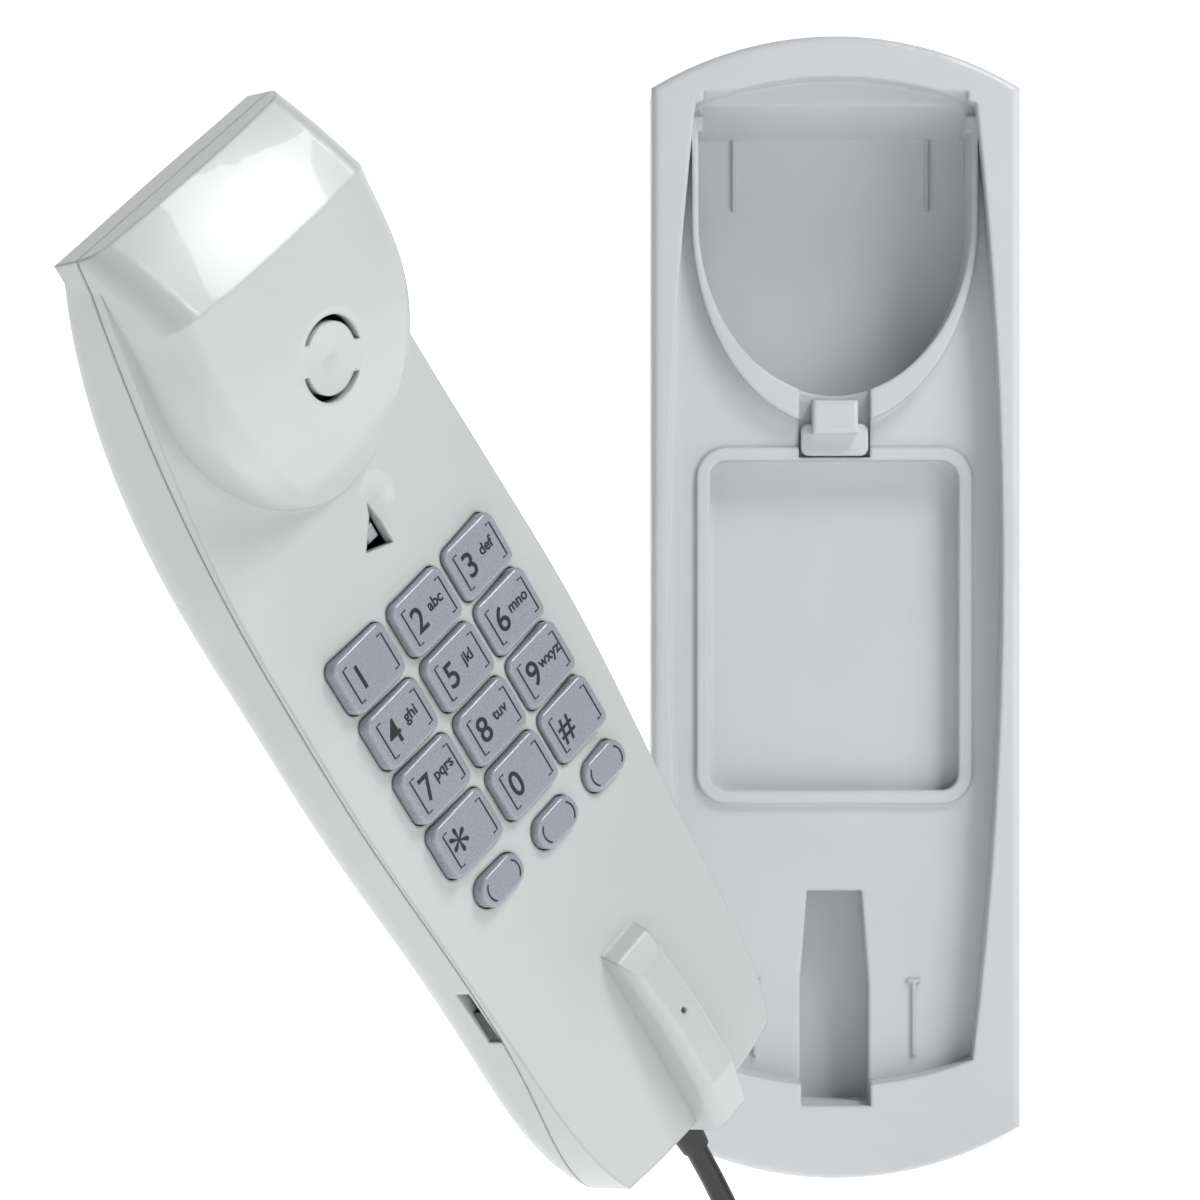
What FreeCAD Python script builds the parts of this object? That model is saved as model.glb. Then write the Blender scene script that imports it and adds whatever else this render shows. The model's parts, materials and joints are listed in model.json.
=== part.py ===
"""Slimline wall phone: a long wall cradle, and a handset that holds the keypad and all the electronics.

Row frame, millimetres: +X to the right, +Z up, the wall behind at y = 0 and the front towards -Y.
The origin is the centre of the cradle's back. The cradle and the handset are each modelled in a frame of
their own (x right, y towards the ear end, z out of the front) and then placed.
"""
import FreeCAD
import Part
import math
import os
from FreeCAD import Placement, Rotation, Vector

# Cradle
CRADLE_HALF_WIDTH = 35.5
CRADLE_SHOULDER = 100.0
CRADLE_APEX = 110.0
CRADLE_DEPTH = 28.0
LANDING = 21.0
WALL = 2.2
RIM_FILLET = 1.6
PLATE = 2.0
CAVITY_TOP = (27.0, 97.0, 102.0)
CAVITY_MIDDLE = (32.1, 5.0)
CAVITY_BOTTOM = (26.3, -87.0, -92.0)
BOWL_HALF_WIDTH = 26.4
BOWL_TOP = 92.0
BOWL_BEND = 75.0
BOWL_TIP = 41.0
BOWL_FLOOR = 4.8
END_WALL_TOP = 99.5
LIP_SIDE = 1.2
LIP_TIP = 35.0
LIP_HEIGHT = 2.6
RECESS = (24.1, -35.5, 28.4)
RECESS_DEPTH = 4.0
RECESS_BORDER = 2.6
BORDER_HEIGHT = 0.8
CHANNEL = (5.3, 6.7, -95.9, -54.9)
CHANNEL_FLOOR = 11.0
RIB_WIDTH = 0.7
UPPER_RIB_X = 19.0
LOWER_RIB_X = 15.4
KEYHOLE_Y = (-46.0, 26.0)
KEYHOLE_LIFT = 8.0
KEYHOLE_HEAD_R = 4.0
KEYHOLE_SLOT_R = 2.1
CRADLE_SCREWS = [(x, y) for x in (-24.0, 24.0) for y in (-96.0, 98.0)]
TAB_FOOT = (6.5, 29.3, 35.5)
TAB_TIP = (4.4, 40.0)
TAB_BASE = 19.7
TAB_FOOT_TOP = 22.4
TAB_TIP_TOP = 25.2
TAB_TRAVEL = 4.0

# Handset
SECTION_TABLE = [
    # y, half width, front, side height, back, back corner radius
    (-95.0, 22.5, -0.6, -3.4, -19.0, 6.0),
    (-88.0, 25.2, -0.2, -3.4, -21.5, 8.0),
    (-60.0, 28.2, 0.0, -3.2, -22.5, 10.0),
    (-25.0, 30.6, 0.0, -2.9, -22.5, 11.0),
    (10.0, 31.2, 0.0, -2.9, -23.2, 11.0),
    (45.0, 29.6, 0.6, -2.4, -24.5, 11.0),
    (70.0, 27.4, 3.0, 0.6, -19.5, 9.0),
    (86.0, 26.0, 5.2, 3.0, -12.0, 6.5),
    (97.0, 24.6, 6.4, 4.4, -4.6, 3.5),
]
SKIN = 2.0
PARTING = [(-112, -17), (-88, -12), (-68, -6.5), (-48, -4.4), (0, -4.2), (40, -4.4), (60, -3.4), (79, -0.8), (98, 2.6),
           (112, 5)]
DOME_HALF_WIDTH = 25.4
DOME_BEND = 68.0
DOME_TIP = 37.0
DOME_SLOPE = [(37.3, 1.0), (41, 4.2), (47, 8.6), (54, 11.8), (63, 14.6), (73, 16.6), (82, 17.8)]
DOME_BEVEL = [(82, 17.8), (90, 13.4), (97.4, 8.4)]
DOME_BASE = -3.0
DOME_EDGE_R = 5.0
EAR_Y = 61.0
EAR_TILT = 15.0
EAR_DISH_R = 8.4
SLOT_R = 6.6
SLOT_WIDTH = 1.1
RIDGE_HALF_WIDTH = 4.8
RIDGE_PROFILE = [(-57.5, -1), (-60, 2.6), (-64, 4.8), (-75, 6.2), (-88, 6.4), (-96.8, 4.0), (-96.8, -8), (-90, -8)]
MIC_Y = -74.0
COLUMN_PITCH = 15.75
ROW_PITCH = 11.4
KEY_SIZE = (14.0, 10.2)
KEY_RADIUS = 1.9
KEY_GAP = 0.25
KEY_TOP = 1.5
KEY_BOTTOM = -2.9
KEY_TRAVEL = 1.2
OVAL_SIZE = (11.0, 5.8)
OVAL_Y = -33.6
OVAL_SHIFT = 1.0
MEMBRANE = (KEY_BOTTOM - KEY_TRAVEL - 1.4, KEY_BOTTOM - KEY_TRAVEL - 0.4)
BOARD = (MEMBRANE[0] - 1.6, MEMBRANE[0])
POCKET = [(-3.8, 26.2), (2.2, 32.2), (2.2, 24.2)]
SCOOP_R = 9.0
SCOOP_CENTRE = Vector(4.6, 32.0, 8.0)
GROOVE_DEPTH = 0.5
GROOVE_HEIGHT = 0.35
HANDSET_SCREWS = [(-19.0, 40.0), (19.0, 40.0), (0.0, -50.0)]
BOARD_POSTS = [(x, y) for x in (-17.0, 17.0) for y in (-32.0, 12.0)]
RINGER_Y = -52.0
RINGER_Z = -6.6
EXIT_Z = -11.0
CORD_R = 2.0

# Placement of the handset
HANDSET_ORIGIN = Vector(-69.5, -148.0, -9.8)
HANDSET_X = Vector(0.550, 0.594, 0.587)
HANDSET_Y = Vector(-0.4635, -0.3688, 0.8056)
HANDSET_Z = Vector(0.695, -0.7155, 0.072)

# Cord: the floor that it lies on, and its route after the exit
FLOOR = -160.0
RELIEF_LENGTH = 9.0
ROUTE_AFTER_EXIT = [(-20.5, -95.1, -108.8), (-13.0, -92.5, -136.0), (3.0, -94.0, -157.5), (27.0, -99.0, -158.0),
                    (50.0, -97.0, -158.0)]
COIL_RADII = (16.0, 28.0)
COIL_HEIGHT = 16.0
COIL_CENTRE = (60.0, -71.5)
TAIL_ROUTE = [(86.0, -71.5, -146.0), (85.0, -50.0, -149.0), (79.0, -32.0, -156.6), (66.0, -20.0, -156.7)]
PLUG_SIZE = (11.7, 20.0, 6.6)


def box(x0, x1, y0, y1, z0, z1):
    return Part.makeBox(x1 - x0, y1 - y0, z1 - z0, Vector(x0, y0, z0))


def cylinder(r, x, y, z0, z1):
    return Part.makeCylinder(r, z1 - z0, Vector(x, y, z0))


def prism(edges, z0, z1):
    wire = Part.Wire(Part.__sortEdges__(edges))
    wire.translate(Vector(0, 0, z0))
    return Part.Face(wire).extrude(Vector(0, 0, z1 - z0))


def segment(a, b):
    return Part.makeLine(Vector(*a, 0), Vector(*b, 0))


def arc(a, middle, b):
    return Part.Arc(Vector(*a, 0), Vector(*middle, 0), Vector(*b, 0)).toShape()


def rounded_box(half_x, y0, y1, r, z0, z1):
    solid = box(-half_x, half_x, y0, y1, z0, z1)
    upright = [e for e in solid.Edges if abs(e.tangentAt(e.FirstParameter).z) > 0.99]
    return solid.makeFillet(r, upright)


def side_profile(points, half_x):
    """A profile in y and z, drawn out along x."""
    wire = Part.makePolygon([Vector(-half_x, y, z) for y, z in points + points[:1]])
    return Part.Face(wire).extrude(Vector(2 * half_x, 0, 0))


def u_outline(half_width, top, bend, tip, z0, z1):
    """A U with an elliptical bottom: straight sides from top to bend, then round to the tip."""
    ellipse_x = half_width
    ellipse_y = bend - tip
    if ellipse_x > ellipse_y:
        ellipse = Part.Ellipse(Vector(ellipse_x, bend, 0), Vector(0, tip, 0), Vector(0, bend, 0))
    else:
        ellipse = Part.Ellipse(Vector(0, tip, 0), Vector(ellipse_x, bend, 0), Vector(0, bend, 0))
    disc = Part.Face(Part.Wire(ellipse.toShape()))
    disc.translate(Vector(0, 0, z0))
    lower = disc.extrude(Vector(0, 0, z1 - z0))
    lower = lower.common(box(-half_width - 1, half_width + 1, tip - 1, bend, z0, z1))
    upper = box(-half_width, half_width, bend, top, z0, z1)
    return lower.fuse(upper).removeSplitter()


def cradle_outline(inset, z0, z1):
    w = CRADLE_HALF_WIDTH - inset
    s = CRADLE_SHOULDER - inset
    a = CRADLE_APEX - inset
    edges = [segment((w, -s), (w, s)), arc((w, s), (0, a), (-w, s)), segment((-w, s), (-w, -s)),
             arc((-w, -s), (0, -a), (w, -s))]
    return prism(edges, z0, z1)


def cavity(z0, z1):
    """The bowed space that takes the handset's sides."""
    tw, ts, ta = CAVITY_TOP
    bw, bs, ba = CAVITY_BOTTOM
    mw, my = CAVITY_MIDDLE
    edges = [arc((tw, ts), (mw, my), (bw, bs)), arc((bw, bs), (0, ba), (-bw, bs)),
             arc((-bw, bs), (-mw, my), (-tw, ts)), arc((-tw, ts), (0, ta), (tw, ts))]
    return prism(edges, z0, z1)


def bowl(offset, z0, z1):
    return u_outline(BOWL_HALF_WIDTH + offset, BOWL_TOP + offset, BOWL_BEND, BOWL_TIP - offset, z0, z1)


def channel(offset, z0, z1):
    narrow, wide, low, high = CHANNEL
    points = [(-narrow - offset, high + offset), (narrow + offset, high + offset), (wide + offset, high - 18),
              (wide + offset, low - offset), (-wide - offset, low - offset), (-wide - offset, high - 18)]
    edges = [segment(a, b) for a, b in zip(points, points[1:] + points[:1])]
    return prism(edges, z0, z1)


def recess(offset, z0, z1):
    half_x, low, high = RECESS
    return rounded_box(half_x + offset, low - offset, high + offset, 3.4 + offset, z0, z1)


def cradle_shell():
    outer = cradle_outline(0, 0, CRADLE_DEPTH)
    front_edges = [e for e in outer.Edges if e.BoundBox.ZMin > CRADLE_DEPTH - 0.01]
    outer = outer.makeFillet(RIM_FILLET, front_edges)
    space = cavity(LANDING, CRADLE_DEPTH + 1)
    lip = u_outline(BOWL_HALF_WIDTH + LIP_SIDE, BOWL_TOP + 3, BOWL_BEND, LIP_TIP, LANDING - 1, LANDING + LIP_HEIGHT)
    lip = lip.common(cavity(LANDING - 1, CRADLE_DEPTH))
    border = recess(RECESS_BORDER, LANDING - 1, LANDING + BORDER_HEIGHT)
    hollow = cradle_outline(WALL, -1, LANDING - WALL)
    keep = [bowl(WALL, BOWL_FLOOR - WALL, LANDING), recess(WALL, LANDING - RECESS_DEPTH - WALL, LANDING),
            channel(WALL, CHANNEL_FLOOR - WALL, LANDING),
            box(-28, 28, BOWL_TOP - 2, BOWL_TOP + 8, BOWL_FLOOR - WALL, LANDING)]
    keep += [cylinder(3.6, x, y, PLATE, LANDING) for x, y in CRADLE_SCREWS]
    for piece in keep:
        hollow = hollow.cut(piece)
    shell = outer.cut(space).fuse([lip, border])
    notch = box(-TAB_FOOT[0] - 0.4, TAB_FOOT[0] + 0.4, TAB_FOOT[1] - 0.3, TAB_FOOT[2] + TAB_TRAVEL + 4.5, TAB_BASE - 0.3,
                CRADLE_DEPTH)
    slope = side_profile([(END_WALL_TOP, CRADLE_DEPTH + 0.5), (BOWL_TOP, BOWL_FLOOR), (BOWL_TOP - 3, BOWL_FLOOR),
                          (BOWL_TOP - 3, CRADLE_DEPTH + 0.5)], 25.4)
    cuts = [slope, hollow, bowl(0, BOWL_FLOOR, CRADLE_DEPTH), recess(0, LANDING - RECESS_DEPTH, CRADLE_DEPTH),
            channel(0, CHANNEL_FLOOR, CRADLE_DEPTH), notch]
    cuts += [cylinder(1.2, x, y, -1, LANDING - 3) for x, y in CRADLE_SCREWS]
    for piece in cuts:
        shell = shell.cut(piece)
    ribs = []
    for side in (-1, 1):
        x = side * UPPER_RIB_X
        ribs.append(box(x - RIB_WIDTH / 2, x + RIB_WIDTH / 2, 78, BOWL_TOP + 0.5, BOWL_FLOOR - 0.2, BOWL_FLOOR + 0.7))
        x = side * LOWER_RIB_X
        ribs.append(box(x - RIB_WIDTH / 2, x + RIB_WIDTH / 2, -87, -72, LANDING - 0.2, LANDING + 0.7))
        ribs.append(box(x - 1.3, x + 1.3, -72.7, -72, LANDING - 0.2, LANDING + 0.7))
    return shell.fuse(ribs).removeSplitter()


def cradle_back_plate():
    plate = cradle_outline(WALL + 0.2, 0, PLATE)
    for y in KEYHOLE_Y:
        plate = plate.cut(cylinder(KEYHOLE_HEAD_R, 0, y, -1, PLATE + 1))
        plate = plate.cut(box(-KEYHOLE_SLOT_R, KEYHOLE_SLOT_R, y, y + KEYHOLE_LIFT, -1, PLATE + 1))
        plate = plate.cut(cylinder(KEYHOLE_SLOT_R, 0, y + KEYHOLE_LIFT, -1, PLATE + 1))
    for x, y in CRADLE_SCREWS:
        plate = plate.cut(cylinder(1.6, x, y, -1, PLATE + 1)).cut(cylinder(3.0, x, y, -1, 1.2))
    return plate


def cradle_screws():
    screws = []
    for x, y in CRADLE_SCREWS:
        shank = cylinder(1.45, x, y, 1.0, 13.0)
        head = cylinder(2.8, x, y, 0.1, 1.2)
        cross = box(x - 1.6, x + 1.6, y - 0.35, y + 0.35, 0, 0.7).fuse(box(x - 0.35, x + 0.35, y - 1.6, y + 1.6, 0, 0.7))
        screws.append(shank.fuse(head).cut(cross))
    return Part.makeCompound(screws)


def hook_tab():
    foot = rounded_box(TAB_FOOT[0], TAB_FOOT[1], TAB_FOOT[2], 1.6, TAB_BASE, TAB_FOOT_TOP)
    tip = box(-TAB_TIP[0], TAB_TIP[0], TAB_FOOT[2] - 2, TAB_TIP[1], TAB_BASE, TAB_TIP_TOP)
    top_edges = [e for e in tip.Edges if e.BoundBox.ZMin > TAB_TIP_TOP - 0.01]
    return foot.fuse(tip.makeFillet(0.7, top_edges))


def section(y, w, front, side, back, r, inset):
    """One closed cross-section: crowned front, straight sides, rounded back corners and a slightly full back."""
    w = w - inset
    front = front - inset
    side = side - inset
    back = back + inset
    r = max(r - inset, 1.5)
    k = r * (1 - math.sqrt(0.5))
    p = [Vector(-w, y, side), Vector(0, y, front), Vector(w, y, side), Vector(w, y, back + r + 0.6),
         Vector(w - k, y, back + k + 0.6), Vector(w - r, y, back + 0.6), Vector(0, y, back),
         Vector(-w + r, y, back + 0.6), Vector(-w + k, y, back + k + 0.6), Vector(-w, y, back + r + 0.6)]
    edges = [Part.Arc(p[0], p[1], p[2]).toShape(), Part.makeLine(p[2], p[3]), Part.Arc(p[3], p[4], p[5]).toShape(),
             Part.Arc(p[5], p[6], p[7]).toShape(), Part.Arc(p[7], p[8], p[9]).toShape(), Part.makeLine(p[9], p[0])]
    return Part.Wire(edges)


def handset_body(inset):
    wires = []
    for index, (y, w, front, side, back, r) in enumerate(SECTION_TABLE):
        shift = 0
        if index == 0:
            shift = inset
        if index == len(SECTION_TABLE) - 1:
            shift = -inset
        wires.append(section(y + shift, w, front, side, back, r, inset))
    return Part.makeLoft(wires, True, False)


def dome_section(y, height, inset):
    """One rounded cross-section of the dome, as wide as the U is at that height."""
    reach = min(1.0, (DOME_BEND - y) / (DOME_BEND - DOME_TIP))
    w = DOME_HALF_WIDTH * math.sqrt(1 - max(0, reach) ** 2) - inset * 0.98
    top = height - inset
    base = DOME_BASE - inset
    r = min(DOME_EDGE_R, 0.45 * (top - base), 0.45 * w)
    sag = 0.05 * w
    k = r * (1 - math.sqrt(0.5))
    side = top - sag
    p = [Vector(-w, y, base), Vector(w, y, base), Vector(w, y, side - r), Vector(w - k, y, side - k),
         Vector(w - r, y, side), Vector(0, y, top), Vector(-w + r, y, side), Vector(-w + k, y, side - k),
         Vector(-w, y, side - r)]
    edges = [Part.makeLine(p[0], p[1]), Part.makeLine(p[1], p[2]), Part.Arc(p[2], p[3], p[4]).toShape(),
             Part.Arc(p[4], p[5], p[6]).toShape(), Part.Arc(p[6], p[7], p[8]).toShape(), Part.makeLine(p[8], p[0])]
    return Part.Wire(edges)


def dome(inset):
    """The raised ear end: a U seen from the front, with a long slope up from its tip and a bevel at its top."""
    slope = [dome_section(y, height, inset) for y, height in DOME_SLOPE]
    bevel = [dome_section(y, height, inset) for y, height in DOME_BEVEL]
    if inset > 0:
        slope = slope[2:]
        bevel = [dome_section(y - inset * share, height, inset)
                 for share, (y, height) in zip((0, 0.5, 1), DOME_BEVEL)]
    return Part.makeLoft(slope, True, False).fuse(Part.makeLoft(bevel, True, False))


def ridge():
    solid = side_profile(RIDGE_PROFILE, RIDGE_HALF_WIDTH)
    top = [e for e in solid.Edges if e.Length > 5 and abs(e.BoundBox.XMin - e.BoundBox.XMax) < 0.01
           and e.BoundBox.ZMin > 1.0]
    return solid.makeFillet(2.4, top)


def above_parting():
    points = [Vector(-60, y, z) for y, z in PARTING]
    curve = Part.BSplineCurve()
    curve.interpolate(points)
    high = 60
    edges = [curve.toShape(), Part.makeLine(points[-1], Vector(-60, points[-1].y, high)),
             Part.makeLine(Vector(-60, points[-1].y, high), Vector(-60, points[0].y, high)),
             Part.makeLine(Vector(-60, points[0].y, high), points[0])]
    return Part.Face(Part.Wire(edges)).extrude(Vector(120, 0, 0))


def key_prism(size, r, x, y, gap, z0, z1):
    solid = rounded_box(size[0] / 2 + gap, -size[1] / 2 - gap, size[1] / 2 + gap, r + gap, z0, z1)
    solid.translate(Vector(x, y, 0))
    return solid


def key_places():
    """Name, x, y, size and corner radius of every key."""
    names = [["1", "2", "3"], ["4", "5", "6"], ["7", "8", "9"], ["star", "0", "pound"]]
    places = []
    for row, line in enumerate(names):
        for column, name in enumerate(line):
            places.append((name, (column - 1) * COLUMN_PITCH, (1 - row) * ROW_PITCH, KEY_SIZE, KEY_RADIUS))
    for column, name in enumerate(["flash", "mute", "redial"]):
        x = (column - 1) * COLUMN_PITCH + OVAL_SHIFT
        places.append((name, x, OVAL_Y, OVAL_SIZE, OVAL_SIZE[1] / 2 - 0.05))
    return places


def crown(x):
    return -0.0029 * x * x


def key(x, y, size, r):
    top = KEY_TOP + crown(x)
    solid = key_prism(size, r, x, y, 0, KEY_BOTTOM + crown(x) * 0.2, top)
    rim = [e for e in solid.Edges if e.BoundBox.ZMin > top - 0.01]
    return solid.makeFillet(0.7, rim)


def ear_slots():
    """Two curved slots on one circle, facing each other."""
    ring = cylinder(SLOT_R + SLOT_WIDTH / 2, 0, 0, -12, 12).cut(cylinder(SLOT_R - SLOT_WIDTH / 2, 0, 0, -13, 13))
    bar = box(-2.6, 2.6, -20, 20, -14, 14)
    bar.rotate(Vector(0, 0, 0), Vector(0, 0, 1), 62)
    slots = ring.cut(bar)
    slots.rotate(Vector(0, 0, 0), Vector(1, 0, 0), EAR_TILT)
    slots.translate(Vector(0, EAR_Y, 12))
    return slots


def ear_dish():
    ball_r = 40.0
    depth = EAR_DISH_R * EAR_DISH_R / (2 * ball_r)
    ball = Part.makeSphere(ball_r, Vector(0, 0, ball_r - depth))
    ball.rotate(Vector(0, 0, 0), Vector(1, 0, 0), EAR_TILT)
    ball.translate(Vector(0, EAR_Y, 13.9))
    return ball


def handset_shells():
    outer = handset_body(0).fuse([dome(0), ridge()])
    inner = handset_body(SKIN).fuse(dome(SKIN))
    upper = above_parting()
    raised = above_parting()
    raised.translate(Vector(0, 0, GROOVE_HEIGHT))
    groove = upper.cut(raised).cut(handset_body(GROOVE_DEPTH))
    front = outer.common(upper).cut(inner).cut(groove)
    rear = outer.cut(upper).cut(inner)
    front = front.fuse([cylinder(3.2, x, y, -12, -1.8) for x, y in HANDSET_SCREWS])
    front = front.cut(ear_dish()).cut(ear_slots())
    for name, x, y, size, r in key_places():
        front = front.cut(key_prism(size, r, x, y, KEY_GAP, -4, 6))
    slit = prism([segment(a, b) for a, b in zip(POCKET, POCKET[1:] + POCKET[:1])], -4, 4)
    front = front.cut(Part.makeSphere(SCOOP_R, SCOOP_CENTRE)).cut(slit)
    front = front.cut(cylinder(0.6, 0, MIC_Y, -4, 9))
    for x, y in HANDSET_SCREWS:
        front = front.cut(cylinder(1.2, x, y, -13, -4))
        rear = rear.fuse(cylinder(4.4, x, y, -21, -12.1))
        rear = rear.cut(cylinder(1.6, x, y, -40, -10)).cut(cylinder(3.0, x, y, -40, -19.5))
    rear = rear.fuse([cylinder(2.6, x, y, -22, BOARD[0]) for x, y in BOARD_POSTS])
    rear = rear.fuse(grip_ridges()).cut(ringer_opening())
    exit_hole = Part.makeCylinder(CORD_R + 1.6, 20, Vector(0, -100, EXIT_Z), Vector(0, 1, 0))
    front = front.cut(exit_hole).cut(ringer_opening())
    return front, rear.cut(exit_hole)


def grip_ridges():
    """Six low cross ridges on the back, where the fingers hold the handset."""
    ridges = []
    for index in range(6):
        y = -14.0 + 4.4 * index
        ridges.append(Part.makeCylinder(0.9, 32, Vector(-16, y, -22.6), Vector(1, 0, 0)))
    return ridges


def ringer_opening():
    return box(-40, -20, RINGER_Y - 5.5, RINGER_Y + 5.5, RINGER_Z - 1.6, RINGER_Z + 1.6)


def ringer_switch_knob():
    stem = box(-26.0, -23.0, RINGER_Y - 4.2, RINGER_Y + 0.2, RINGER_Z - 1.2, RINGER_Z + 1.2)
    cap = box(-28.2, -26.0, RINGER_Y - 4.9, RINGER_Y + 0.9, RINGER_Z - 1.2, RINGER_Z + 1.2)
    return cap.fuse(stem)


def ringer_switch_body():
    solid = box(-24.6, -17, RINGER_Y - 6, RINGER_Y + 6, RINGER_Z - 2.6, RINGER_Z + 1.9)
    return solid.cut(box(-25, -22, RINGER_Y - 4.6, RINGER_Y + 4.6, RINGER_Z - 1.5, RINGER_Z + 1.5))


def hook_switch_body():
    return box(-6, 6, 22, 35, -18, -8.2).cut(box(-1.4, 1.9, 25.9, 29.3, -14.5, -8))


def hook_switch_plunger():
    solid = box(-1.1, 1.6, 26.2, 29.0, -11.0, -1.4)
    tip = [e for e in solid.Edges if e.BoundBox.ZMin > -1.41]
    return solid.makeFillet(0.6, tip)


def keypad_membrane():
    return rounded_box(25.0, -39.5, 19.0, 3.0, MEMBRANE[0], MEMBRANE[1])


def main_circuit_board():
    board = rounded_box(23.0, -42.0, 19.5, 2.0, BOARD[0], BOARD[1])
    chips = [box(-8, 6, -14, -2, BOARD[0] - 1.8, BOARD[0] + 0.2), box(8, 12, -30, -18, BOARD[0] - 5, BOARD[0] + 0.2)]
    chips.append(cylinder(3, -8, -30, BOARD[0] - 7, BOARD[0] + 0.2))
    return board.fuse(chips)


def ring(outer_r, inner_r, y, z0, z1):
    return cylinder(outer_r, 0, y, z0, z1).cut(cylinder(inner_r, 0, y, z0 - 1, z1 + 1))


def microphone_boot():
    solid = cylinder(6.2, 0, MIC_Y, -11, -3.0)
    return solid.cut(cylinder(4.9, 0, MIC_Y, -10, -4.2)).cut(cylinder(1, 0, MIC_Y, -5, 0))


def ringer_buzzer():
    return cylinder(10, 0, 61, -16, -12.5).cut(cylinder(1.5, 0, 61, -14, -12))


def handset_screws():
    screws = []
    for x, y in HANDSET_SCREWS:
        shank = cylinder(1.45, x, y, -19, -6)
        head = cylinder(2.7, x, y, -21.2, -19.5).fuse(cylinder(1.45, x, y, -19.6, -18.9))
        screws.append(shank.fuse(head))
    return Part.makeCompound(screws)


def strain_relief():
    start = Vector(0, -93.0, EXIT_Z)
    collar = Part.makeCylinder(CORD_R + 1.4, 3.0, start, Vector(0, -1, 0))
    cone = Part.makeCone(CORD_R + 1.4, CORD_R + 0.5, RELIEF_LENGTH, start + Vector(0, -3, 0), Vector(0, -1, 0))
    return collar.fuse(cone).cut(Part.makeCylinder(CORD_R, 30, start + Vector(0, 2, 0), Vector(0, -1, 0)))


def tube(points, r):
    """Straight runs joined by tangent arcs, each as large as its two runs allow."""
    points = [Vector(*p) for p in points]
    edges = []
    radii = []
    last = points[0]
    for before, corner, after in zip(points, points[1:], points[2:]):
        into = (corner - before).normalize()
        out = (after - corner).normalize()
        turn = into.getAngle(out)
        reach = 0.45 * min(before.distanceToPoint(corner), corner.distanceToPoint(after))
        radii.append(reach / math.tan(turn / 2))
        start = corner - into * reach
        end = corner + out * reach
        inward = (out - into).normalize()
        bulge = radii[-1] / math.cos(turn / 2) - radii[-1]
        edges.append(Part.makeLine(last, start))
        edges.append(Part.Arc(start, corner + inward * bulge, end).toShape())
        last = end
    edges.append(Part.makeLine(last, points[-1]))
    path = Part.Wire(edges)
    first = points[1] - points[0]
    profile = Part.Wire(Part.makeCircle(r, points[0], first))
    solid = path.makePipeShell([profile], True, False)
    print("tube: length", round(path.Length, 1), "volume / (section x length)",
          round(solid.Volume / (math.pi * r * r * path.Length), 4), "radii", [round(v, 1) for v in radii])
    return solid


def cord_coil():
    x, y = COIL_CENTRE
    outer = cylinder(COIL_RADII[1], x, y, FLOOR, FLOOR + COIL_HEIGHT)
    return outer.cut(cylinder(COIL_RADII[0], x, y, FLOOR - 1, FLOOR + COIL_HEIGHT + 1))


def plug_pieces():
    """The modular plug at the end of the tail, lying on the floor along the tail's last direction."""
    end = Vector(*TAIL_ROUTE[-1])
    along = (end - Vector(*TAIL_ROUTE[-2])).normalize()
    along.z = 0
    turn = math.degrees(math.atan2(along.y, along.x)) - 90
    width, length, height = PLUG_SIZE
    body = box(-width / 2, width / 2, 0, length, 0, height)
    body = body.cut(box(-4.4, 4.4, length - 7, length + 1, height - 1.6, height + 1))
    latch = box(-2.2, 2.2, 5, length - 7.4, height + 0.1, height + 1.1)
    placed = []
    for solid in (body, latch):
        solid.rotate(Vector(0, 0, 0), Vector(0, 0, 1), turn)
        solid.translate(Vector(end.x, end.y, FLOOR))
        placed.append(solid)
    return placed


def place_cradle(shape):
    """Turns a cradle-frame shape so that its front faces -Y and its length stands up."""
    shape.rotate(Vector(0, 0, 0), Vector(1, 0, 0), 90)
    return shape


def handset_placement():
    return Placement(HANDSET_ORIGIN, Rotation(HANDSET_X, HANDSET_Y, HANDSET_Z, "ZYX"))


def place_handset(shape):
    shape.Placement = handset_placement().multiply(shape.Placement)
    return shape


def write(name, shape):
    count = len(shape.Solids)
    print(name, "solids", count, "volume", round(shape.Volume, 1), "valid", shape.isValid())
    shape.exportStep("parts/" + name + ".step")


def main():
    os.makedirs("parts", exist_ok=True)
    for name, shape in [("cradle_shell", cradle_shell()), ("cradle_back_plate", cradle_back_plate()),
                        ("cradle_screws", cradle_screws()), ("hook_tab", hook_tab())]:
        write(name, place_cradle(shape))

    front, rear = handset_shells()
    pieces = [("front_shell", front), ("rear_shell", rear), ("keypad_membrane", keypad_membrane()),
              ("main_circuit_board", main_circuit_board()), ("receiver_capsule", cylinder(12, 0, EAR_Y, -4, 3.5)),
              ("receiver_gasket", ring(11.5, 8.6, EAR_Y, 3.5, 5.5)),
              ("microphone_capsule", cylinder(4.7, 0, MIC_Y, -9.8, -4.4)), ("microphone_boot", microphone_boot()),
              ("hook_switch_body", hook_switch_body()), ("hook_switch_plunger", hook_switch_plunger()),
              ("ringer_switch_body", ringer_switch_body()), ("ringer_switch_knob", ringer_switch_knob()),
              ("ringer_buzzer", ringer_buzzer()), ("handset_screws", handset_screws()),
              ("strain_relief", strain_relief())]
    for name, x, y, size, r in key_places():
        pieces.append(("key_" + name, key(x, y, size, r)))
    for name, shape in pieces:
        write(name, place_handset(shape))

    exit_point = handset_placement().multVec(Vector(0, -96.0, EXIT_Z))
    route = [tuple(exit_point)] + ROUTE_AFTER_EXIT
    print("exit", [round(v, 2) for v in exit_point])
    write("line_cord", tube(route, CORD_R))
    write("line_cord_tail", tube(TAIL_ROUTE, CORD_R))
    write("cord_coil", cord_coil())
    plug, latch = plug_pieces()
    write("modular_plug", plug)
    write("plug_latch", latch)


main()
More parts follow.
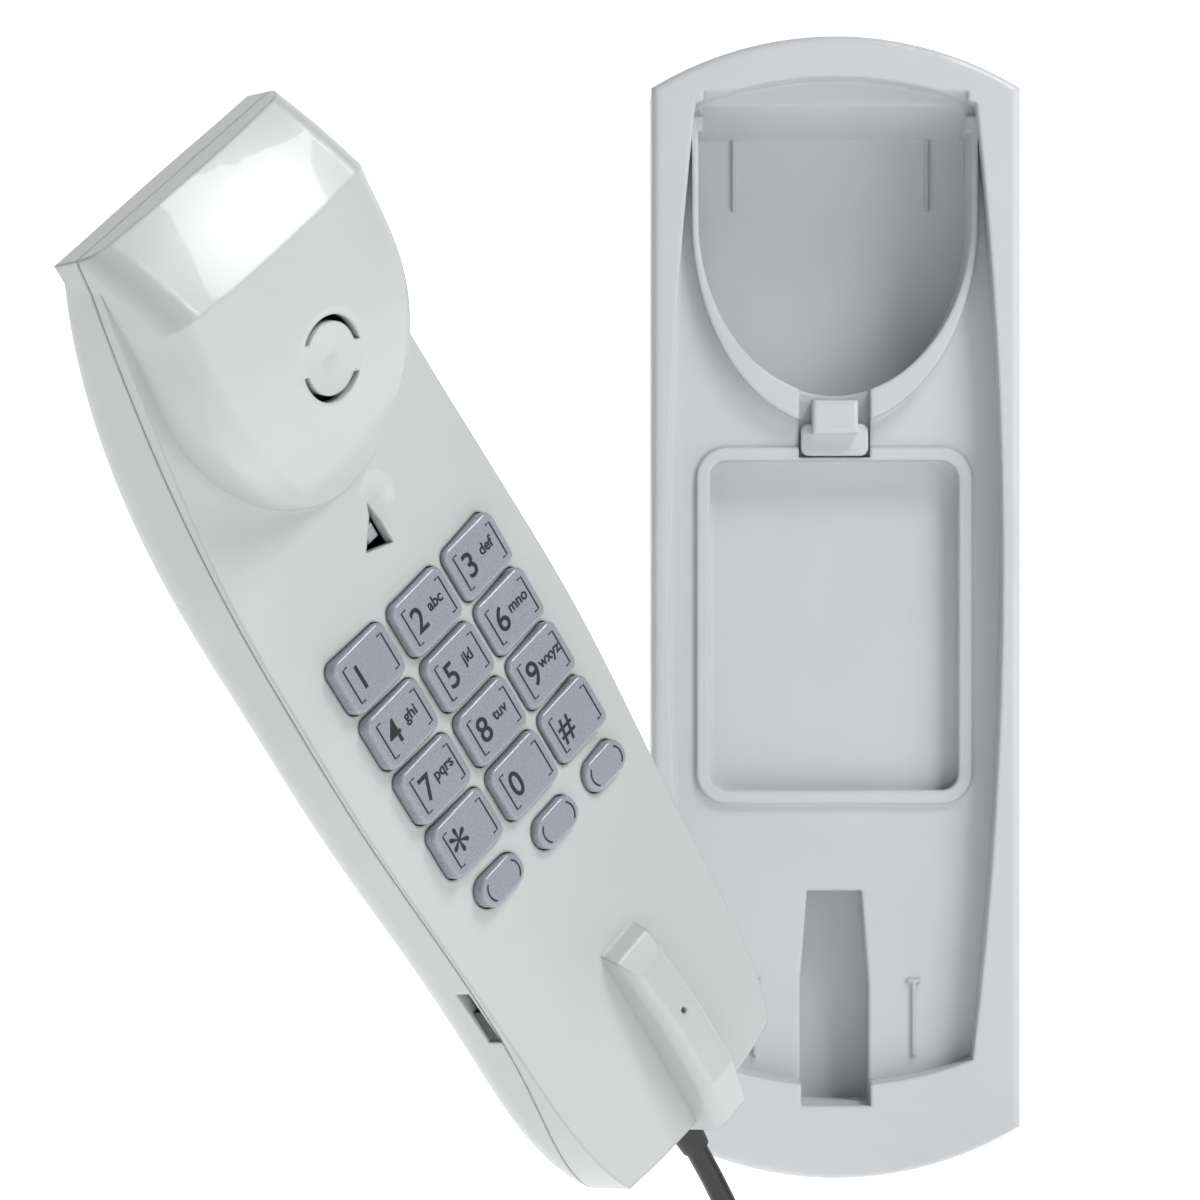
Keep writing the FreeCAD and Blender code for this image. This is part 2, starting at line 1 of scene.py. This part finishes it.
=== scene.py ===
"""Looks of the slimline wall phone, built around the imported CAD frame. Metres, +Z up, wall at y = 0."""
import bpy
import json
import math
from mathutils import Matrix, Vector


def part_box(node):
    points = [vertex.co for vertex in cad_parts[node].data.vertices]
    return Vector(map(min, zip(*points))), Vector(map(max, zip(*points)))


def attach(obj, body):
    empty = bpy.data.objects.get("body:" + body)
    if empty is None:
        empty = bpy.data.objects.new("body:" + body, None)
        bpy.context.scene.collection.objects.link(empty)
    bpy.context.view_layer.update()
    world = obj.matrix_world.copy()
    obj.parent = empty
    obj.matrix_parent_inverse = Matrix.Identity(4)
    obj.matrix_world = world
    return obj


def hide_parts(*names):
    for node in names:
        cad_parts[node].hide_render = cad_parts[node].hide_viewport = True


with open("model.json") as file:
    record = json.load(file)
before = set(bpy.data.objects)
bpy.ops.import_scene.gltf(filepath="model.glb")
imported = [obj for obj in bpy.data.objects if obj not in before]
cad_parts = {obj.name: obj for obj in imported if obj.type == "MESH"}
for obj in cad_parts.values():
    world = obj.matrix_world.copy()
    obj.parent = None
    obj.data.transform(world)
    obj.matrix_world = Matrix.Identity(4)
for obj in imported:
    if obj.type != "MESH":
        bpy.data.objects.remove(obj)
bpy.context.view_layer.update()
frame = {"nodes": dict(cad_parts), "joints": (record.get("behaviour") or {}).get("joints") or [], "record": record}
NODES = frame["nodes"]
FLOOR_Z = -0.160
CORD_R = 0.002
CAMERA_PLACE = (-0.0454, -0.928, 0.0014)
CAMERA_LENS = 140.4
SENSOR_WIDTH = 36.0


def joint_axis(name):
    return Vector([j["axis"] for j in frame["joints"] if j["name"] == name][0]).normalized()


def node_centre(node):
    low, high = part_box(node)
    return (low + high) / 2


# The handset's own directions: out of its face, towards its ear end, and to its right
OUT = -joint_axis("key_5_press")
UP = joint_axis("ringer_switch_slide")
RIGHT = UP.cross(OUT)


def link(name, data):
    piece = bpy.data.objects.new(name, data)
    bpy.context.scene.collection.objects.link(piece)
    return piece


# Camera

camera = link("camera", bpy.data.cameras.new("camera"))
camera.location = CAMERA_PLACE
camera.rotation_euler = (math.pi / 2, 0, 0)
camera.data.lens = CAMERA_LENS
camera.data.sensor_width = SENSOR_WIDTH
bpy.context.scene.camera = camera


# Materials

# Most of a noise texture's values lie in this band
NOISE_LOW = 0.3
NOISE_HIGH = 0.7
MOTTLE_SCALE = 35
MOTTLE_DETAIL = 3
MOTTLE_SHADE = 0.955
GRAIN_DETAIL = 4
GRAIN_DEPTH = 0.00005
EDGE_SAMPLES = 6
BRUSH_SCALE = 900
BRUSH_DETAIL = 5
BRUSH_SHADE = 0.8
BRUSH_SPREAD = 0.15
CLOUD_SCALE = 300
CLOUD_DETAIL = 2


def new_material(name):
    """A new material, its nodes, its links and its main shader."""
    material = bpy.data.materials.new(name)
    material.use_nodes = True
    tree = material.node_tree
    return material, tree.nodes, tree.links, tree.nodes["Principled BSDF"]


def noise(nodes, links, scale, detail, coordinates):
    texture = nodes.new("ShaderNodeTexNoise")
    texture.inputs["Scale"].default_value = scale
    texture.inputs["Detail"].default_value = detail
    links.new(coordinates.outputs["Object"], texture.inputs["Vector"])
    return texture


def ramp(nodes, links, source, low, high):
    """Maps a texture to a narrow band of values."""
    node = nodes.new("ShaderNodeMapRange")
    node.inputs["From Min"].default_value = NOISE_LOW
    node.inputs["From Max"].default_value = NOISE_HIGH
    node.inputs["To Min"].default_value = low
    node.inputs["To Max"].default_value = high
    links.new(source, node.inputs["Value"])
    return node.outputs["Result"]


def colour_mix(nodes, links, factor, first, second):
    node = nodes.new("ShaderNodeMix")
    node.data_type = "RGBA"
    node.inputs[6].default_value = (*first, 1)
    node.inputs[7].default_value = (*second, 1)
    links.new(factor, node.inputs["Factor"])
    return node.outputs[2]


def moulded(name, colour, roughness, grain=0.06, grain_scale=2600, edge=0.0, coat=0.0):
    """Moulded plastic or rubber: slight mottling, a fine spark-eroded grain, and softened edges."""
    material, nodes, links, shader = new_material(name)
    coordinates = nodes.new("ShaderNodeTexCoord")
    broad = noise(nodes, links, MOTTLE_SCALE, MOTTLE_DETAIL, coordinates)
    fine = noise(nodes, links, grain_scale, GRAIN_DETAIL, coordinates)
    darker = tuple(c * MOTTLE_SHADE for c in colour)
    factor = ramp(nodes, links, broad.outputs["Fac"], 0, 1)
    links.new(colour_mix(nodes, links, factor, colour, darker), shader.inputs["Base Color"])
    shine = ramp(nodes, links, fine.outputs["Fac"], roughness - 0.04, roughness + 0.05)
    links.new(shine, shader.inputs["Roughness"])
    bump = nodes.new("ShaderNodeBump")
    bump.inputs["Strength"].default_value = grain
    bump.inputs["Distance"].default_value = GRAIN_DEPTH
    links.new(fine.outputs["Fac"], bump.inputs["Height"])
    if edge > 0:
        soft = nodes.new("ShaderNodeBevel")
        soft.samples = EDGE_SAMPLES
        soft.inputs["Radius"].default_value = edge
        links.new(soft.outputs["Normal"], bump.inputs["Normal"])
    links.new(bump.outputs["Normal"], shader.inputs["Normal"])
    shader.inputs["Coat Weight"].default_value = coat
    return material


def metal(name, colour, roughness):
    """Metal with a fine uneven shine."""
    material, nodes, links, shader = new_material(name)
    coordinates = nodes.new("ShaderNodeTexCoord")
    fine = noise(nodes, links, BRUSH_SCALE, BRUSH_DETAIL, coordinates)
    darker = tuple(c * BRUSH_SHADE for c in colour)
    factor = ramp(nodes, links, fine.outputs["Fac"], 0, 1)
    links.new(colour_mix(nodes, links, factor, colour, darker), shader.inputs["Base Color"])
    shine = ramp(nodes, links, fine.outputs["Fac"], roughness, roughness + BRUSH_SPREAD)
    links.new(shine, shader.inputs["Roughness"])
    shader.inputs["Metallic"].default_value = 1.0
    return material


def clear_plastic(name):
    material, nodes, links, shader = new_material(name)
    coordinates = nodes.new("ShaderNodeTexCoord")
    cloudy = noise(nodes, links, CLOUD_SCALE, CLOUD_DETAIL, coordinates)
    links.new(ramp(nodes, links, cloudy.outputs["Fac"], 0.08, 0.18), shader.inputs["Roughness"])
    shader.inputs["Base Color"].default_value = (0.82, 0.86, 0.88, 1)
    shader.inputs["Transmission Weight"].default_value = 0.6
    return material


MATERIALS = {
    "cradle_plastic": moulded("cradle_plastic", (0.56, 0.575, 0.59), 0.36, grain=0.04, edge=0.0011),
    "handset_plastic": moulded("handset_plastic", (0.47, 0.49, 0.487), 0.32, grain=0.04, edge=0.0009,
                               coat=0.15),
    "key_plastic": moulded("key_plastic", (0.27, 0.28, 0.325), 0.28, grain=0.02, edge=0.0003, coat=0.3),
    "screw_steel": metal("screw_steel", (0.62, 0.63, 0.65), 0.25),
    "grey_rubber": moulded("grey_rubber", (0.22, 0.225, 0.24), 0.6),
    "black_rubber": moulded("black_rubber", (0.018, 0.018, 0.02), 0.5),
    "board_laminate": moulded("board_laminate", (0.03, 0.16, 0.07), 0.35, coat=0.3),
    "capsule_metal": metal("capsule_metal", (0.7, 0.7, 0.71), 0.3),
    "buzzer_brass": metal("buzzer_brass", (0.8, 0.62, 0.3), 0.25),
    "black_plastic": moulded("black_plastic", (0.012, 0.012, 0.014), 0.35),
    "grey_plastic": moulded("grey_plastic", (0.33, 0.34, 0.355), 0.35),
    "cord_black": moulded("cord_black", (0.012, 0.012, 0.013), 0.33, grain=0.12, grain_scale=1400),
    "plug_clear": clear_plastic("plug_clear"),
    "legend_ink": moulded("legend_ink", (0.015, 0.015, 0.02), 0.45),
}
for part in frame["record"]["subparts"]:
    mesh = NODES[part["node"]].data
    mesh.materials.clear()
    mesh.materials.append(MATERIALS[part["material_slot"]])


# Cord: the route after the exit, the coil on the floor to the right of the cradle, and the tail to the plug

EXIT = (-0.03266, -0.10471, -0.08794)
ROUTE = [EXIT, (-0.0205, -0.0951, -0.1088), (-0.013, -0.0925, -0.136), (0.003, -0.094, -0.1575),
         (0.027, -0.099, -0.158), (0.046, -0.0985, -0.158)]
TAIL = [(0.085, -0.050, -0.149), (0.079, -0.032, -0.1566), (0.066, -0.020, -0.1567)]
COIL_CENTRE = (0.060, -0.0715)
COIL_START = math.radians(-100)
LAYER_RADII = [[0.026, 0.022, 0.018], [0.018, 0.022, 0.026], [0.026, 0.022, 0.018], [0.018, 0.022, 0.026]]
POINTS_PER_TURN = 18
TURN = 2 * math.pi
# Shares of a turn: where the radius starts to change, where the rise starts, and how long each lasts
RADIUS_CHANGE = 0.72
RISE = 0.86
CHANGE_LENGTH = 0.14


def smooth(t):
    """Eases from 0 to 1, and holds outside that."""
    t = min(max(t, 0), 1)
    return t * t * (3 - 2 * t)


def coil_points():
    """Turns beside and on each other. Each turn changes radius first, and rises after that, so none meet."""
    turns = []
    for layer, radii in enumerate(LAYER_RADII):
        turns += [(r, FLOOR_Z + CORD_R + 2 * CORD_R * layer) for r in radii]
    last_angle = TURN * (len(turns) - 1) - COIL_START
    count = int(last_angle / TURN * POINTS_PER_TURN)
    points = []
    for step in range(count + 1):
        angle = last_angle * step / count
        turn = int(angle / TURN)
        share = angle / TURN - turn
        r, z = turns[min(turn, len(turns) - 1)]
        next_r, next_z = turns[min(turn + 1, len(turns) - 1)]
        r += (next_r - r) * smooth((share - RADIUS_CHANGE) / CHANGE_LENGTH)
        z += (next_z - z) * smooth((share - RISE) / CHANGE_LENGTH)
        direction = COIL_START + angle
        points.append((COIL_CENTRE[0] + r * math.cos(direction), COIL_CENTRE[1] + r * math.sin(direction), z))
    return points


def cord_curve():
    curve = bpy.data.curves.new("phone_cord", "CURVE")
    curve.dimensions = "3D"
    spline = curve.splines.new("NURBS")
    points = ROUTE + coil_points() + TAIL
    spline.points.add(len(points) - 1)
    for place, point in zip(points, spline.points):
        point.co = (*place, 1)
    spline.order_u = 3
    spline.use_endpoint_u = True
    spline.resolution_u = 6
    curve.bevel_depth = CORD_R
    curve.bevel_resolution = 4
    curve.use_fill_caps = True
    curve.materials.append(MATERIALS["cord_black"])
    return link("phone_cord", curve)


cord = cord_curve()
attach(cord, "handset")
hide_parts("line_cord", "cord_coil", "line_cord_tail")


# Key legends: digits, the usual letter groups and a bracket each side, as thin printed ink

LETTERS = {"2": "abc", "3": "def", "4": "ghi", "5": "jkl", "6": "mno", "7": "pqrs", "8": "tuv", "9": "wxyz"}
INK = 0.00004
BOLDNESS = 0.00006
LINE_WIDTH = 0.0003
BRACKET_HOOK = 0.0011
BULGE = 0.0016
ARC_HALF = 62
ARC_STEPS = 8
ARC_STEP = 15.5
DIGIT_SIZE = 0.0062
DIGIT_PLACE = (-0.0026, 0)
STAR_SIZE = 0.0098
STAR_PLACE = (-0.0026, -0.0013)
LETTER_SIZE = 0.0028
LETTER_PLACE = (0.0022, 0.0006)
LEFT_BRACKET_X = 0.0052
RIGHT_BRACKET_X = 0.0054
BRACKET_Y = 0.0033
OVAL_BRACKET = (0.0042, 0.0019)


def text_faces(text, size, place):
    """Vertices and faces of a flat text, in the key's plane."""
    curve = bpy.data.curves.new("legend_text", "FONT")
    curve.body = text
    curve.size = size
    curve.offset = BOLDNESS
    curve.align_x = "CENTER"
    curve.align_y = "CENTER"
    source = link("legend_text", curve)
    bpy.context.view_layer.update()
    mesh = bpy.data.meshes.new_from_object(source.evaluated_get(bpy.context.evaluated_depsgraph_get()))
    points = [(v.co.x + place[0], v.co.y + place[1]) for v in mesh.vertices]
    faces = [tuple(f.vertices) for f in mesh.polygons]
    bpy.data.objects.remove(source)
    return points, faces


def stroke(path, width):
    """A band of constant width along a flat path."""
    points = []
    for index, (x, y) in enumerate(path):
        ax, ay = path[max(index - 1, 0)]
        bx, by = path[min(index + 1, len(path) - 1)]
        run = math.hypot(bx - ax, by - ay)
        nx, ny = -(by - ay) / run * width / 2, (bx - ax) / run * width / 2
        points += [(x + nx, y + ny), (x - nx, y - ny)]
    faces = [(2 * i, 2 * i + 1, 2 * i + 3, 2 * i + 2) for i in range(len(path) - 1)]
    return points, faces


def bracket(side, half_x, half_y):
    x = side * half_x
    tip = x - side * BRACKET_HOOK
    return stroke([(tip, half_y), (x, half_y), (x, -half_y), (tip, -half_y)], LINE_WIDTH)


def curved_bracket(side, half_x, half_y):
    path = []
    for step in range(ARC_STEPS + 1):
        angle = math.radians(-ARC_HALF + ARC_STEP * step)
        path.append((side * (half_x - BULGE + BULGE * math.cos(angle)), half_y * math.sin(angle)))
    return stroke(path, LINE_WIDTH)


def legend(name, drawings):
    """Joins flat drawings into one thin piece on top of a key."""
    node = "key_" + name
    centre = node_centre(node)
    top = max(v.co.dot(OUT) for v in NODES[node].data.vertices)
    base = centre + OUT * (top - centre.dot(OUT) + INK)
    vertices = []
    faces = []
    for points, polygons in drawings:
        start = len(vertices)
        vertices += [base + RIGHT * x + UP * y for x, y in points]
        faces += [tuple(start + i for i in polygon) for polygon in polygons]
    mesh = bpy.data.meshes.new("legend_" + name)
    mesh.from_pydata([tuple(v) for v in vertices], [], faces)
    mesh.materials.append(MATERIALS["legend_ink"])
    piece = link("legend_" + name, mesh)
    solid = piece.modifiers.new("thickness", "SOLIDIFY")
    solid.thickness = INK
    solid.offset = 0
    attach(piece, node)


def key_legends():
    for name in ["1", "2", "3", "4", "5", "6", "7", "8", "9", "0", "star", "pound"]:
        sign = {"star": "*", "pound": "#"}.get(name, name)
        place = STAR_PLACE if sign == "*" else DIGIT_PLACE
        size = STAR_SIZE if sign == "*" else DIGIT_SIZE
        drawings = [text_faces(sign, size, place), bracket(-1, LEFT_BRACKET_X, BRACKET_Y),
                    bracket(1, RIGHT_BRACKET_X, BRACKET_Y)]
        if name in LETTERS:
            drawings.append(text_faces(LETTERS[name], LETTER_SIZE, LETTER_PLACE))
        legend(name, drawings)
    for name in ["flash", "mute", "redial"]:
        legend(name, [curved_bracket(-1, *OVAL_BRACKET), curved_bracket(1, *OVAL_BRACKET)])


key_legends()


# Stage and light

LIGHT_TARGET = (-0.03, -0.08, 0.0)


def backdrop():
    """A pale floor that curves up far behind the object. Seen from well to the side, its edge shows."""
    half = 4.0
    front = -3.0
    bend = 1.0
    start = 1.6
    top = 4.0
    steps = 12
    profile = [(front, FLOOR_Z), (start, FLOOR_Z)]
    for step in range(1, steps + 1):
        angle = math.pi / 2 * step / steps
        profile.append((start + bend * math.sin(angle), FLOOR_Z + bend * (1 - math.cos(angle))))
    profile.append((start + bend, top))
    vertices = [(side * half, y, z) for y, z in profile for side in (-1, 1)]
    faces = [(2 * i, 2 * i + 1, 2 * i + 3, 2 * i + 2) for i in range(len(profile) - 1)]
    mesh = bpy.data.meshes.new("backdrop")
    mesh.from_pydata(vertices, [], faces)
    mesh.polygons.foreach_set("use_smooth", [True] * len(faces))
    material, _, _, shader = new_material("backdrop")
    shader.inputs["Base Color"].default_value = (0.93, 0.93, 0.93, 1)
    shader.inputs["Roughness"].default_value = 0.9
    shader.inputs["Emission Color"].default_value = (1, 1, 1, 1)
    shader.inputs["Emission Strength"].default_value = 0.75
    mesh.materials.append(material)
    link("backdrop", mesh)


def area_light(name, place, target, size, power):
    light = bpy.data.lights.new(name, "AREA")
    light.size = size
    light.energy = power
    lamp = link(name, light)
    lamp.location = place
    lamp.rotation_euler = (Vector(target) - Vector(place)).to_track_quat("-Z", "Y").to_euler()


backdrop()
area_light("top_key", (0.5, -0.5, 1.0), LIGHT_TARGET, size=0.4, power=9.5)
area_light("front_fill", (0.9, -1.0, 0.2), LIGHT_TARGET, size=0.6, power=3.8)
world = bpy.data.worlds.new("studio")
world.use_nodes = True
background = world.node_tree.nodes["Background"]
background.inputs["Color"].default_value = (0.97, 0.98, 1.0, 1)
background.inputs["Strength"].default_value = 0.15
bpy.context.scene.world = world
bpy.context.scene.view_settings.view_transform = "Standard"
